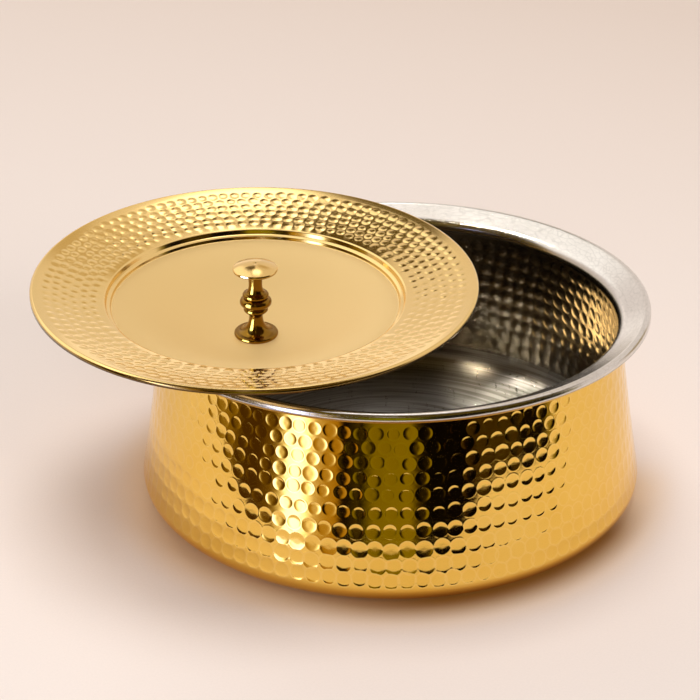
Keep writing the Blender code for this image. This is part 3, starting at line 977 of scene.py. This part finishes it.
# Lamps

def soft_box(name, place, target, size, power, color=WHITE, shown=False):
    """A rectangular lamp. A shown one is also seen in polished metal."""
    light = bpy.data.lights.new(name, 'AREA')
    light.shape = 'RECTANGLE'
    light.size, light.size_y = size
    light.energy = power
    light.color = color
    made = bpy.data.objects.new(name, light)
    made.location = place
    aim = Vector(target) - Vector(place)
    made.rotation_euler = aim.to_track_quat('-Z', 'Y').to_euler()
    bpy.context.scene.collection.objects.link(made)
    made.visible_glossy = shown
    if shown:
        made.visible_camera = False
    return made


def group(name, *members):
    made = bpy.data.collections.new(name)
    for member in members:
        made.objects.link(member)
    return made


room_lights = [
    soft_box("front_light", (0.124, -3.53, 1.878), (0, 0, 0), (1.0, 1.0), 38),
    soft_box("top_light", (-0.125, 0.344, 2.978), (0, 0, 0), (1.4, 1.4), 41),
    soft_box("right_light", (3.346, -1.932, 1.035), (0, 0, 0), (2.0, 2.0), 96),
    soft_box("back_light", (-1.194, 3.674, 1.035), (0, 0, 0), (2.4, 2.4), 82)]
# The knob is too small to shade the satin well
shading = group("shading", shell, lining, lid)
for light in room_lights:
    light.light_linking.blocker_collection = shading

# The lid's gold underside throws a warm glow across the pot, onto the right of its inner wall, and two
# small windows, high on the left, gleam in its brushed floor
inside_lights = (
    (soft_box("lid_glow", (0.055, 0.107, 0.017), (0.109, 0.044, 0.064), (0.020, 0.030), 0.00095,
              (1.0, 0.66, 0.27), True), 70),
    (soft_box("floor_gleam", (-0.377, 0.218, 0.779), (0.052, 0.071, 0.002), (0.09, 0.09), 0.023,
              (1.0, 0.93, 0.80), True), 10),
    (soft_box("low_gleam", (-0.316, -0.002, 0.824), (0.039, 0.087, 0.002), (0.05, 0.05), 0.0042,
              (1.0, 0.84, 0.60), True), 10))
inside_only = group("inside_only", lining)
for light, spread in inside_lights:
    light.data.spread = rad(spread)
    light.light_linking.receiver_collection = inside_only

# A tall soft box on the left draws one pale line down the turned knob
streak = soft_box("knob_streak", (-0.342, -0.238, 0.110), (-0.0665, -0.022, 0.110), (0.22, 0.50), 13.0,
                  (0.27, 0.40, 0.85), True)
knob_only = group("knob_only", knob)
streak.light_linking.receiver_collection = knob_only
streak.light_linking.blocker_collection = knob_only


# Camera

PHOTO_WIDTH = 700
FOCAL_PIXELS = 1800
SENSOR = 36
CAMERA_PLACE = Vector((0, -0.826857, 0.473635))
PITCH, YAW, ROLL = 0.452995, -0.0247718, -0.0072590

forward = Vector((math.sin(YAW) * math.cos(PITCH), math.cos(YAW) * math.cos(PITCH), -math.sin(PITCH)))
level = Vector((math.cos(YAW), -math.sin(YAW), 0))
above = level.cross(forward)
right = math.cos(ROLL) * level + math.sin(ROLL) * above
upward = math.cos(ROLL) * above - math.sin(ROLL) * level
lens = bpy.data.cameras.new("camera")
lens.lens = FOCAL_PIXELS / PHOTO_WIDTH * SENSOR
lens.sensor_width = SENSOR
lens.sensor_fit = 'HORIZONTAL'
camera = bpy.data.objects.new("camera", lens)
bpy.context.scene.collection.objects.link(camera)
turn = Matrix((right, upward, -forward)).transposed()
camera.matrix_world = Matrix.Translation(CAMERA_PLACE) @ turn.to_4x4()
bpy.context.scene.camera = camera
bpy.context.scene.view_settings.view_transform = 'Standard'
